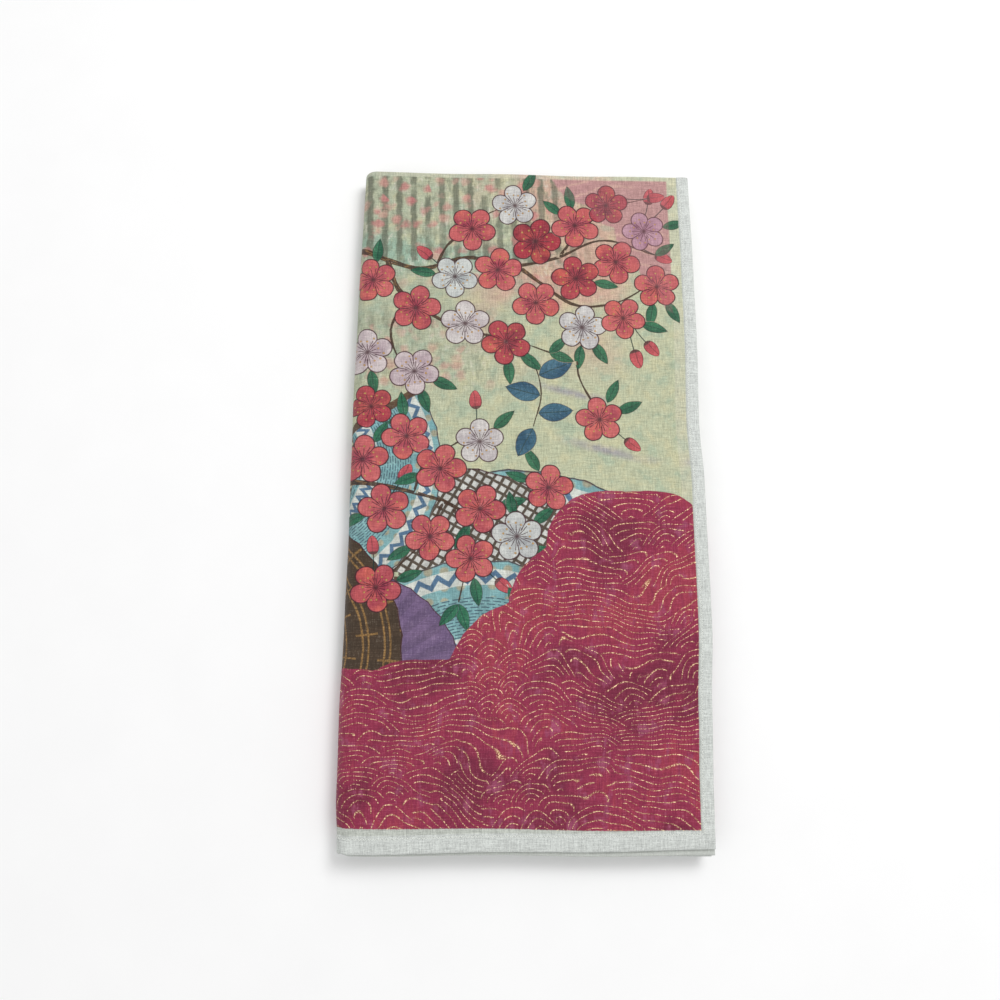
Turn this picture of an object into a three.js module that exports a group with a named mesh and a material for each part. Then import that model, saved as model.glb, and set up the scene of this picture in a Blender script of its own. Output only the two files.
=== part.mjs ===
// A cotton handkerchief, folded in half three times and lying flat.
// The first fold doubles the sheet along a crease at the far edge, so every
// panel is a pair of plies. The next two folds lay that pair back and forth in
// four panels, one above the other, with the hems at the near edge and at the
// right. The whole sheet is one solid.
//
// Millimetres. X runs across the folded cloth and Y along it, away from the
// near hems. Z is up, and the lowest ply rests on Z = 0.
import * as THREE from "three";

// Driving sizes: the folded cloth, its plies and its hem
const foldedWidth = 125;
const foldedLength = 250;
const plyThickness = 1;
const plyGap = 0.3;
const nearHemWidth = 6;
const sideHemWidth = 4.4;

const plyPitch = plyThickness + plyGap;
const pairPitch = 2 * plyPitch;
const pairHalf = (plyPitch + plyThickness) / 2;

// The seam of the hem pinches the cloth into a shallow groove on both faces
const grooveHalfWidth = 0.8;
const grooveThickness = 0.68;

// Steps of the mesh
const panelSteps = 8;
const creaseSteps = 8;
const spineSteps = 12;
const plySteps = 15;
const farFoldSteps = 6;

// Creases between the panels. The spine goes round all the others at the left,
// and the inner crease nests in it. The turnback lies under the side hem.
const creaseRadius = pairPitch / 2;
const spineRadius = 1.5 * pairPitch;
const nestingSlack = 0.6;
const turnbackSetback = 1.2;
const spineX = -foldedWidth / 2 + spineRadius + pairHalf;
const innerX = spineX + nestingSlack;
const turnbackX = foldedWidth / 2 - creaseRadius - pairHalf - turnbackSetback;

// Where the sheet's two side hems end, on the top panel and on the one below it
const topHemX = foldedWidth / 2;
const hiddenHemX = topHemX - 0.9;

// Panels in the order in which the sheet runs through them, from one side hem
// to the other. level counts pairs from the bottom. heading is the way along X.
// faceShort and backShort say how far the near hems of the two plies stop short
// of the folded cloth's near edge, at the panel's start and at its end.
const panels = [
  { level: 2, heading: -1, startX: hiddenHemX, endX: innerX, faceShort: [0.9, 0.6], backShort: [0.3, 0.5] },
  { level: 1, heading: 1, startX: innerX, endX: turnbackX, faceShort: [0.6, 0.8], backShort: [0.5, 0.2] },
  { level: 0, heading: -1, startX: turnbackX, endX: spineX, faceShort: [0.8, 0.2], backShort: [0.2, 0.4] },
  { level: 3, heading: 1, startX: spineX, endX: topHemX, faceShort: [1.5, 2.1], backShort: [0, 0.3] },
];

// The creases, in the same order, each after the panel of its row. turn is 1
// where the sheet turns anticlockwise, seen from the near hems, and -1 where
// it turns clockwise.
const creases = [
  { centreX: innerX, centreLevel: 1.5, radius: creaseRadius, turn: 1, steps: creaseSteps },
  { centreX: turnbackX, centreLevel: 0.5, radius: creaseRadius, turn: -1, steps: creaseSteps },
  { centreX: spineX, centreLevel: 1.5, radius: spineRadius, turn: -1, steps: spineSteps },
];

// The far fold, where the two plies of a pair meet round a half circle
const farFoldRadius = plyPitch / 2;
const farFoldY = foldedLength / 2 - farFoldRadius - plyThickness / 2;
const nearEdgeY = -foldedLength / 2;
const plyLength = farFoldY - nearEdgeY;

// How far the long edges stray from straight at places along the cloth, the
// folded one on the left and the hemmed one on the right
const edgeStray = [
  { y: -125, left: 0, right: 0 },
  { y: -106, left: -1.2, right: 0.2 },
  { y: -77, left: -1.2, right: 0.8 },
  { y: -46, left: -1, right: 2 },
  { y: 0, left: -1, right: 1.6 },
  { y: 25, left: -1, right: 0.5 },
  { y: 52, left: -0.9, right: 1 },
  { y: 84, left: -0.8, right: 0.7 },
  { y: 125, left: 0, right: 0 },
];

// How unevenly the cloth lies: its rim is thicker, it ripples softly and its
// near hems wave a little. Ripples are shares of the height, and the slanting
// one runs on by skew for each step across. The near hems' waves shift with
// their height, so that the plies don't end in line.
const rimSwell = 0.045;
const rimReach = 24;
const rippleRise = 0.016;
const rippleAcross = { length: 61, phase: 0.8 };
const rippleAlong = { length: 88, phase: 0.3 };
const rippleSlanting = { length: 150, phase: 2, skew: 0.5 };
const hemWave = { reach: 0.25, length: 73, phasePerHeight: 1 };

const { lerp, clamp, smoothstep } = THREE.MathUtils;
const wave = (distance, { length, phase }) => Math.sin((2 * Math.PI * distance) / length + phase);
const levelHeight = (level) => pairHalf + level * pairPitch;

// Shares of the way along a run of cloth, from 0 to 1, in even steps. A hem at
// either end adds its seam, with the groove's edges beside it.
function sharesAlong(length, steps, hemWidth, hemAtStart, hemAtEnd) {
  const plain = (share) => ({ share, thickness: 1 });
  const seam = [
    { from: hemWidth - grooveHalfWidth, thickness: 1 },
    { from: hemWidth, thickness: grooveThickness },
    { from: hemWidth + grooveHalfWidth, thickness: 1 },
  ];
  const start = [plain(0)];
  const end = [plain(1)];
  if (hemAtStart) for (const s of seam) start.push({ share: s.from / length, thickness: s.thickness });
  if (hemAtEnd) for (const s of seam) end.unshift({ share: 1 - s.from / length, thickness: s.thickness });
  const first = start.at(-1).share;
  const last = end[0].share;
  const between = [];
  for (let i = 1; i < steps; i++) between.push(plain(lerp(first, last, i / steps)));
  return [...start, ...between, ...end];
}

// The middle line of the doubled cloth as it goes back and forth: each place
// with the direction of its printed side and how short the near hems are there.
function backAndForth() {
  const places = [];
  panels.forEach((panel, n) => {
    const crease = creases[n];
    const run = Math.abs(panel.endX - panel.startX);
    for (const { share, thickness } of sharesAlong(run, panelSteps, sideHemWidth, n === 0, !crease))
      places.push({
        x: lerp(panel.startX, panel.endX, share),
        z: levelHeight(panel.level),
        outX: 0,
        outZ: panel.heading,
        faceShort: lerp(...panel.faceShort, share),
        backShort: lerp(...panel.backShort, share),
        thickness,
      });
    if (!crease) return;
    for (let i = 1; i < crease.steps; i++) {
      const angle = (panel.heading * Math.PI) / 2 + (crease.turn * Math.PI * i) / crease.steps;
      const outX = Math.cos(angle);
      const outZ = Math.sin(angle);
      places.push({
        x: crease.centreX - crease.turn * crease.radius * outX,
        z: levelHeight(crease.centreLevel) - crease.turn * crease.radius * outZ,
        outX,
        outZ,
        faceShort: panel.faceShort[1],
        backShort: panel.backShort[1],
        thickness: 1,
      });
    }
  });
  return places;
}

// The run of the doubled cloth from its near hem along the face ply, round the
// far fold and back along the other ply. offset is the distance from the pair's
// middle line. face and back are each ply's share of its hem's shortness.
function roundFarFold() {
  const places = [];
  for (const { share, thickness } of sharesAlong(plyLength, plySteps, nearHemWidth, true, false))
    places.push({
      offset: farFoldRadius, y: lerp(nearEdgeY, farFoldY, share),
      outward: 1, onward: 0, face: 1 - share, back: 0, thickness,
    });
  for (let j = 1; j < farFoldSteps; j++) {
    const angle = (Math.PI * j) / farFoldSteps;
    const outward = Math.cos(angle);
    const onward = Math.sin(angle);
    places.push({
      offset: farFoldRadius * outward, y: farFoldY + farFoldRadius * onward,
      outward, onward, face: 0, back: 0, thickness: 1,
    });
  }
  for (const { share, thickness } of sharesAlong(plyLength, plySteps, nearHemWidth, false, true))
    places.push({
      offset: -farFoldRadius, y: lerp(farFoldY, nearEdgeY, share),
      outward: -1, onward: 0, face: 0, back: share, thickness,
    });
  return places;
}

// How much higher than a flat pile the cloth lies at a place, as a share of the
// height, so that the underside stays flat and the plies keep their gaps.
function lift(x, y) {
  const fromSide = Math.max(foldedWidth / 2 - Math.abs(x), 0);
  const fromHem = Math.max(y - nearEdgeY, 0);
  const rim = Math.min(Math.exp(-fromSide / rimReach) + Math.exp(-fromHem / rimReach), 1);
  const squares = wave(x, rippleAcross) * wave(y, rippleAlong);
  const slant = wave(y + rippleSlanting.skew * x, rippleSlanting);
  return 1 + rimSwell * rim + rippleRise * (squares + slant);
}

// How far the cloth is moved across at a place: as its left edge strays at the
// left, as its right edge does at the right, and in proportion between them
function strayAt(x, y) {
  const place = clamp(y, edgeStray[0].y, edgeStray.at(-1).y);
  const next = Math.max(edgeStray.findIndex((row) => row.y >= place), 1);
  const from = edgeStray[next - 1];
  const to = edgeStray[next];
  const share = smoothstep(place, from.y, to.y);
  const fromLeft = clamp(x / foldedWidth + 0.5, 0, 1);
  return lerp(lerp(from.left, to.left, share), lerp(from.right, to.right, share), fromLeft);
}

// A point on the cloth's printed face (side 1) or on its reverse (side -1)
function clothPoint(across, along, side) {
  const half = (side * plyThickness * Math.min(across.thickness, along.thickness)) / 2;
  const offset = along.offset + half * along.outward;
  const x = across.x + across.outX * offset;
  const z = across.z + across.outZ * offset;
  const short = along.face * across.faceShort + along.back * across.backShort;
  const hemPhase = { length: hemWave.length, phase: hemWave.phasePerHeight * across.z };
  const waved = (along.face + along.back) * hemWave.reach * wave(across.x, hemPhase);
  const y = along.y + half * along.onward + short + waved;
  return new THREE.Vector3(x + strayAt(x, y), y, z * lift(x, y));
}

// One closed skin round the sheet: a grid on each face and strips round the rim
function clothGeometry() {
  const across = backAndForth();
  const along = roundFarFold();
  const lastAcross = across.length - 1;
  const lastAlong = along.length - 1;
  const positions = [];
  for (const side of [1, -1])
    for (const a of across)
      for (const b of along) positions.push(...clothPoint(a, b, side));

  const face = (i, j) => i * along.length + j;
  const reverse = (i, j) => across.length * along.length + face(i, j);
  const triangles = [];
  const quad = (a, b, c, d) => triangles.push(a, b, c, a, c, d);
  for (let i = 0; i < lastAcross; i++)
    for (let j = 0; j < lastAlong; j++) {
      quad(face(i, j), face(i + 1, j), face(i + 1, j + 1), face(i, j + 1));
      quad(reverse(i, j), reverse(i, j + 1), reverse(i + 1, j + 1), reverse(i + 1, j));
    }
  for (let i = 0; i < lastAcross; i++) {
    quad(reverse(i, 0), reverse(i + 1, 0), face(i + 1, 0), face(i, 0));
    quad(face(i, lastAlong), face(i + 1, lastAlong), reverse(i + 1, lastAlong), reverse(i, lastAlong));
  }
  for (let j = 0; j < lastAlong; j++) {
    quad(face(0, j), face(0, j + 1), reverse(0, j + 1), reverse(0, j));
    quad(reverse(lastAcross, j), reverse(lastAcross, j + 1), face(lastAcross, j + 1), face(lastAcross, j));
  }

  const geometry = new THREE.BufferGeometry();
  geometry.setAttribute("position", new THREE.Float32BufferAttribute(positions, 3));
  geometry.setIndex(triangles);
  geometry.computeVertexNormals();
  geometry.computeBoundingBox();
  return geometry;
}

const printedCotton = new THREE.MeshStandardMaterial({
  color: new THREE.Color(0.6, 0.2, 0.3),
  roughness: 0.85,
  metalness: 0,
});

const cloth = new THREE.Mesh(clothGeometry(), printedCotton);
cloth.name = "handkerchief";

// The origin is under the middle of the folded cloth
const middle = cloth.geometry.boundingBox.getCenter(new THREE.Vector3());
cloth.position.set(-middle.x, -middle.y, 0);

const handkerchief = new THREE.Group();
handkerchief.add(cloth);

export default handkerchief;
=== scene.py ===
# A printed cotton handkerchief, folded and lying on a pale floor.
# Lengths in the dictionaries are millimetres, and Blender's own are metres.
import bpy
import numpy as np
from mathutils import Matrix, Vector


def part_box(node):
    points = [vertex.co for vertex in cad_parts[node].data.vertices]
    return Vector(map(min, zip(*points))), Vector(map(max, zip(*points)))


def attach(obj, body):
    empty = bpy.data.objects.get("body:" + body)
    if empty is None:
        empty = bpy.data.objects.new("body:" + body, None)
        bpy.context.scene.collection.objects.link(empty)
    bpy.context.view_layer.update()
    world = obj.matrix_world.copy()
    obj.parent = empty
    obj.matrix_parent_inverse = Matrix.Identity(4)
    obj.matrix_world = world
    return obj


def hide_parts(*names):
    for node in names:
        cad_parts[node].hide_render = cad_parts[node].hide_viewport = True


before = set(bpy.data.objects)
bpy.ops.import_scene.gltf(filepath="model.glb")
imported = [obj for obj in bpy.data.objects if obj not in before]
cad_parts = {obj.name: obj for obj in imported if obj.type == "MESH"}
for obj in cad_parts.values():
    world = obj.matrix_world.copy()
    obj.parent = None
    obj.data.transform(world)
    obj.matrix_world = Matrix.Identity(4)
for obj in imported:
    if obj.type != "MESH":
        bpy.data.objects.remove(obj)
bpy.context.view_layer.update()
mm = 0.001
print("frame loaded")


# The folds, as the solid has them

folds = {
    "width": 125.0,  # of the folded cloth
    "length": 250.0,
    "plyPitch": 1.3,  # from one ply to the next
    "solidPly": 1.0,  # a ply of the solid
    "hiddenHemShort": 0.9,  # the side hem under the top one stops short
    "nestingSlack": 0.6,
    "turnbackSetback": 1.2,
    "rimSwell": 0.045,  # shares of the height
    "rimReach": 24.0,
    "rippleRise": 0.016,
    "ripples": ((61, 0.8), (88, 0.3), (150, 2)),  # length and phase: across, along, aslant
    "hemWave": (0.25, 73.0),  # height and length
    # how far the long edges stray from straight at each y
    "edgeY": (-125, -106, -77, -46, 0, 25, 52, 84, 125),
    "leftStray": (0, -1.2, -1.2, -1, -1, -1, -0.9, -0.8, 0),
    "rightStray": (0, 0.2, 0.8, 2, 1.6, 0.5, 1, 0.7, 0),
    "creaseSteps": 48,  # rows in each crease
    "farSteps": 24,  # and in the far fold
}
pairPitch = 2 * folds["plyPitch"]
pairHalf = (folds["plyPitch"] + folds["solidPly"]) / 2
creaseRadius = pairPitch / 2
spineRadius = 1.5 * pairPitch
spineX = -folds["width"] / 2 + spineRadius + pairHalf
innerX = spineX + folds["nestingSlack"]
turnbackX = folds["width"] / 2 - creaseRadius - pairHalf - folds["turnbackSetback"]
topHemX = folds["width"] / 2
hiddenHemX = topHemX - folds["hiddenHemShort"]
farRadius = folds["plyPitch"] / 2
farY = folds["length"] / 2 - farRadius - folds["solidPly"] / 2
nearY = -folds["length"] / 2
pileHeight = 4 * pairPitch - folds["plyPitch"] + folds["solidPly"]

# level, heading along x, start and end x, then how short the hems of the
# face ply and the back ply are, at the start and at the end
panels = [
    (2, -1, hiddenHemX, innerX, (0.9, 0.6), (0.3, 0.5)),
    (1, 1, innerX, turnbackX, (0.6, 0.8), (0.5, 0.2)),
    (0, -1, turnbackX, spineX, (0.8, 0.2), (0.2, 0.4)),
    (3, 1, spineX, topHemX, (0.5, 2.3), (0.0, 0.3)),
]
# centre x, level, radius and turn of the crease after each panel but the last
creases = [
    (innerX, 1.5, creaseRadius, 1),
    (turnbackX, 0.5, creaseRadius, -1),
    (spineX, 1.5, spineRadius, -1),
]


def wave(distance, length, phase=0.0):
    # a sine that repeats after each length
    return np.sin(2 * np.pi * distance / length + phase)


def smoothStep(low, high, value):
    # 0 below low, 1 above high, and an even curve between
    share = np.clip((value - low) / (high - low), 0, 1)
    return share * share * (3 - 2 * share)


def distances(rows):
    # distance along a line of points, whose places are its first two columns
    steps = np.hypot(np.diff(rows[:, 0]), np.diff(rows[:, 1]))
    return np.concatenate([[0], np.cumsum(steps)])


def runAcross():
    # Panels are straight runs and creases half circles. Each row holds the place
    # x, z, the printed side's direction and the two hems' shortness.
    rows = []
    steps = folds["creaseSteps"]
    for n, (level, heading, startX, endX, faceShort, backShort) in enumerate(panels):
        height = pairHalf + level * pairPitch
        rows.append((startX, height, 0, heading, faceShort[0], backShort[0]))
        rows.append((endX, height, 0, heading, faceShort[1], backShort[1]))
        if n < len(creases):
            centreX, centreLevel, radius, turn = creases[n]
            angle = heading * np.pi / 2 + turn * np.pi * np.arange(1, steps) / steps
            outX, outZ = np.cos(angle), np.sin(angle)
            arcX = centreX - turn * radius * outX
            arcZ = pairHalf + centreLevel * pairPitch - turn * radius * outZ
            share = smoothStep(0, steps, np.arange(1, steps))
            arcFace = faceShort[1] + (panels[n + 1][4][0] - faceShort[1]) * share
            arcBack = backShort[1] + (panels[n + 1][5][0] - backShort[1]) * share
            rows.extend(zip(arcX, arcZ, outX, outZ, arcFace, arcBack))
    return np.array(rows, float)


def runAlong():
    # Up the face ply, half a circle round the far fold, and back along the other
    # ply. Each row: offset from the pair's middle, y, outward, onward, face, back.
    angle = np.linspace(0, np.pi, folds["farSteps"] + 1)
    outward, onward = np.cos(angle), np.sin(angle)
    none = np.zeros_like(angle)
    arc = np.stack([farRadius * outward, farY + farRadius * onward, outward, onward, none, none], axis=1)
    first = np.array([[farRadius, nearY, 1, 0, 1, 0]])
    last = np.array([[-farRadius, nearY, -1, 0, 0, 1]])
    return np.concatenate([first, arc, last])


acrossRows, alongRows = runAcross(), runAlong()
acrossAt, alongAt = distances(acrossRows), distances(alongRows)
sheetWidth, sheetLength = float(acrossAt[-1]), float(alongAt[-1])
panelStarts = acrossAt[0::folds["creaseSteps"] + 1]
panelEnds = acrossAt[1::folds["creaseSteps"] + 1]
turnbackAt = float(panelEnds[1] + panelStarts[2]) / 2
spineAt = float(panelEnds[2] + panelStarts[3]) / 2
print(f"sheet {sheetWidth:.1f} by {sheetLength:.1f} mm")


# How the thin cloth lies on those folds

cloth = {
    "half": 0.2,  # half the thickness of one ply
    "hemHalf": 0.42,  # and of the hem, which is folded over twice
    "edgeRound": 0.5,  # radius of the fold at its edge
    "nearHem": 6.0,  # widths of the hems
    "sideHem": 4.4,
    "hemStep": (0.35, 0.15),  # a hem's step down starts before its width and ends past it
    "nearSeam": 5.0,  # the stitching, from the edge
    "sideSeam": 3.6,
    "seamPinch": 0.13,
    "nearPinchReach": 0.45,
    "sidePinchReach": 0.4,
    "droop": 0.35,  # how far the edges hang below their ply
    "sideDroopReach": 1.6,
    "nearDroopReach": 2.2,
    "threadRoom": 0.2,  # for the stitches under the lowest hem
    "wobble": 0.24,  # how far a ply strays up and down
    "pucker": 0.08,  # and how far it does so beside a seam
    # length of the puckers, lengths over which their phase and their height
    # change, distance from the edge and reach
    "nearPuckers": (5.3, 33, 61, 6.5, 3.5),
    "sidePuckers": (5.9, 31, 57, 5.0, 3.0),
    "fineStep": 1.5,  # mesh steps on the top panel
    "underStep": 2.6,  # on the underside
    "hiddenStep": 9.0,  # inside the pile
    "creaseStep": 0.5,
    "spineStep": 0.75,
    "farStep": 0.3,
}
# soft ridges and troughs of the pile: from x, y to x, y, half width and rise
relief = [
    (-62, 96, -8, 118, 5.0, 0.30),
    (-60, 70, -22, 60, 7.0, -0.28),
    (10, 122, 34, 62, 6.0, 0.26),
    (62, 74, 30, 34, 7.0, 0.34),
    (63, 46, 40, 18, 4.0, -0.30),
    (64, 12, 44, -6, 5.0, 0.30),
    (63, -52, 36, -92, 6.0, 0.42),
    (58, -100, 40, -66, 4.0, -0.30),
    (-62, -20, -30, -34, 6.0, 0.28),
    (-61, -60, -38, -52, 5.0, -0.26),
    (-52, -122, -34, -84, 5.0, 0.30),
    (4, -123, 10, -92, 6.0, 0.28),
    (24, -124, 20, -104, 3.5, -0.24),
    (-20, 10, 24, -16, 9.0, 0.22),
    (-14, -48, 30, -62, 10.0, -0.22),
]


def toEdges(s, t):
    # distances from the sheet's nearest side edge and nearest end edge
    return np.minimum(s, sheetWidth - s), np.minimum(t, sheetLength - t)


def bell(value, middle, reach):
    # 1 at the middle, and a normal curve down to both sides
    return np.exp(-((value - middle) / reach) ** 2)


def hemShare(s, t):
    # 1 on a hem, 0 on the single ply
    toSide, toEnd = toEdges(s, t)
    before, past = cloth["hemStep"]
    side = smoothStep(cloth["sideHem"] + past, cloth["sideHem"] - before, toSide)
    end = smoothStep(cloth["nearHem"] + past, cloth["nearHem"] - before, toEnd)
    return np.maximum(side, end)


def halfThickness(s, t):
    # A round fold at the edge, the hem's three plies, a pinch at the seam,
    # then the single ply
    toSide, toEnd = toEdges(s, t)
    edge = np.clip(np.minimum(toSide, toEnd) / cloth["edgeRound"], 0, 1)
    rounding = np.sqrt(np.clip(1 - (1 - edge) ** 2, 0.04, 1))
    pinch = bell(toSide, cloth["sideSeam"], cloth["sidePinchReach"])
    pinch = pinch + bell(toEnd, cloth["nearSeam"], cloth["nearPinchReach"])
    hem = cloth["hemHalf"] * rounding - cloth["seamPinch"] * np.minimum(pinch, 1)
    share = hemShare(s, t)
    return hem * share + cloth["half"] * (1 - share)


def puckers(along, toEdge, length, phaseLength, heightLength, middle, reach):
    # little waves beside a seam, whose phase and height change slowly along it
    height = 0.6 + 0.4 * wave(along, heightLength, 1)
    return wave(along, length, 1.4 * wave(along, phaseLength)) * height * bell(toEdge, middle, reach)


def stray(s, t):
    # Slow waves lift each ply a little off its middle, hems less, and quick
    # ones pucker it beside the seams. The lowest ply settles on the floor,
    # between its creases.
    toSide, toEnd = toEdges(s, t)
    slow = 0.5 * wave(s + 0.4 * t, 47, 1.0) + 0.35 * wave(s - 0.7 * t, 83, 2.2) + 0.3 * wave(t, 38, s / 29)
    slow = slow * cloth["wobble"] * smoothStep(2, 18, np.minimum(toSide, toEnd))
    quick = puckers(t, toSide, *cloth["sidePuckers"]) + puckers(s, toEnd, *cloth["nearPuckers"])
    quick = quick * cloth["pucker"]
    lowest = smoothStep(turnbackAt + 2, turnbackAt + 8, s) * smoothStep(spineAt - 9, spineAt - 16, s)
    lowest = lowest * smoothStep(farY - nearY + 1, farY - nearY - 4, t)
    floorGap = folds["solidPly"] / 2 - halfThickness(s, t) - cloth["threadRoom"] * hemShare(s, t)
    return (slow + quick) * (1 - lowest) + floorGap * lowest


def pileRelief(x, y):
    # Each ridge is a bell across its line, and fades where the line ends.
    rise = np.zeros(np.broadcast(x, y).shape)
    for x0, y0, x1, y1, halfWidth, height in relief:
        length = np.hypot(x1 - x0, y1 - y0)
        run = ((x - x0) * (x1 - x0) + (y - y0) * (y1 - y0)) / length
        off = ((x - x0) * (y1 - y0) - (y - y0) * (x1 - x0)) / length
        ends = smoothStep(-halfWidth, halfWidth, run)
        ends = ends * smoothStep(length + halfWidth, length - 2 * halfWidth, run)
        rise = rise + height * ends * bell(off, 0, halfWidth)
    return rise


def edgeShift(x, y):
    # The long edges stray as their tables say, with an even curve from row to
    # row, and what lies between them moves in proportion.
    marks = np.array(folds["edgeY"], float)
    place = np.clip(y, marks[0], marks[-1])
    row = np.clip(np.searchsorted(marks, place), 1, len(marks) - 1)
    share = smoothStep(marks[row - 1], marks[row], place)
    strays = np.array([folds["leftStray"], folds["rightStray"]])
    left, right = strays[:, row - 1] + (strays[:, row] - strays[:, row - 1]) * share
    return left + (right - left) * np.clip(x / folds["width"] + 0.5, 0, 1)


def onCloth(s, t, rise):
    # The place of a point of the sheet, rise above its middle towards the
    # printed side: across the folds, then along them, then lifted as the pile
    # swells and ripples. The result is in millimetres.
    x, z, outX, outZ, faceShort, backShort = (np.interp(s, acrossAt, column) for column in acrossRows.T)
    offset, y, outward, onward, face, back = (np.interp(t, alongAt, column) for column in alongRows.T)
    rise = rise + stray(s, t)
    reach = offset + rise * outward
    hemReach, hemLength = folds["hemWave"]
    y = y + rise * onward + face * faceShort + back * backShort
    y = y + (face + back) * hemReach * wave(x, hemLength, z)
    x, z = x + outX * reach, z + outZ * reach
    rim = np.exp(-np.clip(folds["width"] / 2 - np.abs(x), 0, None) / folds["rimReach"])
    rim = np.minimum(rim + np.exp(-np.clip(y - nearY, 0, None) / folds["rimReach"]), 1)
    rippleAcross, rippleAlong, rippleAslant = folds["ripples"]
    ripple = wave(x, *rippleAcross) * wave(y, *rippleAlong) + wave(y + x / 2, *rippleAslant)
    lift = 1 + folds["rimSwell"] * rim + folds["rippleRise"] * ripple + pileRelief(x, y) / pileHeight
    toSide, toEnd = toEdges(s, t)
    hang = np.exp(-np.minimum(toSide / cloth["sideDroopReach"], toEnd / cloth["nearDroopReach"]))
    droop = hang * cloth["droop"] * np.clip(z / pileHeight, 0, 1)
    return np.stack([x + edgeShift(x, y), y, z * lift - droop], axis=-1)


def spread(*runs):
    # stations from one mark to the next, in even steps of about the given size
    marks = [runs[0]]
    for end, step in zip(runs[1::2], runs[2::2]):
        count = max(int(round(abs(end - marks[-1]) / step)), 1)
        marks.extend(np.linspace(marks[-1], end, count + 1)[1:])
    return np.array(marks)


# stations over the hems, closer at their fold, seam and step
nearMarks = np.array([0, 0.08, 0.25, 0.5, 1.5, 3.0, 4.0, 4.6, 5.0, 5.4, 5.7, 6.1, 6.6])
sideMarks = np.array([0, 0.08, 0.25, 0.5, 1.2, 2.2, 2.9, 3.3, 3.6, 3.9, 4.1, 4.5, 5.0])
farAt = farY - nearY
farLength = np.pi * farRadius
acrossStations = np.concatenate([
    sideMarks[:-1],
    spread(
        sideMarks[-1], panelEnds[0], cloth["hiddenStep"], panelStarts[1], cloth["creaseStep"],
        panelEnds[1], cloth["hiddenStep"], panelStarts[2], cloth["creaseStep"],
        panelEnds[2], cloth["underStep"], panelStarts[3], cloth["spineStep"],
        sheetWidth - sideMarks[-1], cloth["fineStep"]),
    sheetWidth - sideMarks[-2::-1],
])
alongStations = np.concatenate([
    nearMarks[:-1],
    spread(
        nearMarks[-1], farAt, cloth["fineStep"], farAt + farLength, cloth["farStep"],
        sheetLength - nearMarks[-1], cloth["hiddenStep"]),
    sheetLength - nearMarks[-2::-1],
])
countS, countT = len(acrossStations), len(alongStations)
gridS, gridT = np.meshgrid(acrossStations, alongStations, indexing="ij")
half = halfThickness(gridS, gridT)
printedSide = onCloth(gridS, gridT, half).reshape(-1, 3)
reverseSide = onCloth(gridS, gridT, -half).reshape(-1, 3)
places = np.concatenate([printedSide, reverseSide])
sheetS = np.tile(gridS.ravel(), 2)
sheetT = np.tile(gridT.ravel(), 2)

# the solid's own outline says where the middle is
low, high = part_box("handkerchief")
cadMiddle = np.array([(low[0] + high[0]) / 2, (low[1] + high[1]) / 2]) / mm
clothMiddle = (places[:, :2].min(axis=0) + places[:, :2].max(axis=0)) / 2
shift = np.array([*(cadMiddle - clothMiddle), 0.0])


def quads(a, b, c, d):
    return np.stack([a.ravel(), b.ravel(), c.ravel(), d.ravel()], axis=1)


index = np.arange(countS * countT).reshape(countS, countT)
under = index + countS * countT
faces = np.concatenate([
    quads(index[:-1, :-1], index[1:, :-1], index[1:, 1:], index[:-1, 1:]),
    quads(under[:-1, :-1], under[:-1, 1:], under[1:, 1:], under[1:, :-1]),
    quads(under[:-1, 0], under[1:, 0], index[1:, 0], index[:-1, 0]),
    quads(index[:-1, -1], index[1:, -1], under[1:, -1], under[:-1, -1]),
    quads(index[0, :-1], index[0, 1:], under[0, 1:], under[0, :-1]),
    quads(under[-1, :-1], under[-1, 1:], index[-1, 1:], index[-1, :-1]),
])
print(f"cloth grid {countS} by {countT}, {2 * len(faces)} triangles")


def makeMesh(name, points, corners):
    mesh = bpy.data.meshes.new(name)
    mesh.vertices.add(len(points))
    mesh.vertices.foreach_set("co", np.ascontiguousarray(points, np.float32).ravel())
    mesh.loops.add(corners.size)
    mesh.loops.foreach_set("vertex_index", corners.ravel().astype(np.int32))
    mesh.polygons.add(len(corners))
    mesh.polygons.foreach_set("loop_start", np.arange(0, corners.size, corners.shape[1], dtype=np.int32))
    mesh.polygons.foreach_set("use_smooth", np.ones(len(corners), bool))
    mesh.update(calc_edges=True)
    piece = bpy.data.objects.new(name, mesh)
    bpy.context.collection.objects.link(piece)
    return piece


handkerchief = makeMesh("printed_cloth", (places + shift) * mm, faces)


# The print. Its places are millimetres on the top panel: across from the
# folded edge, and up from the near hem. The other panels mirror them.

design = {
    "nearBorder": 8.3,  # unprinted, from the hem's edge
    "borderSlant": 0.018,  # that it narrows by, for each mm across
    "sideBorder": 4.7,
    "beneathTo": (117.6, 247.6),  # where the print of the ply beneath ends
    "bloomSize": 9.3,  # radius of a blossom
    "petalAt": 0.60,  # shares of it: to a petal's middle, a petal's radius and the heart's
    "petalRadius": 0.375,
    "heartRadius": 0.36,
    "fanSpread": 58.0,  # half the angle of an open fan, in degrees
    "fanPaper": 0.42,  # share of its radius where the paper begins
    "layers": {"bloom": 3, "sprig": 2, "fan": 3},  # how many of a kind can overlap
    "facePad": 1.3,  # a little more than half a mesh face
    "farOff": 9.0,  # the place in a motif's frame where there is none
    "twigReach": 5.0,  # faces further off than this have no twig
    "twigStep": 2.5,  # from one point of its line to the next
    "threadPitch": 0.42,
}

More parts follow.
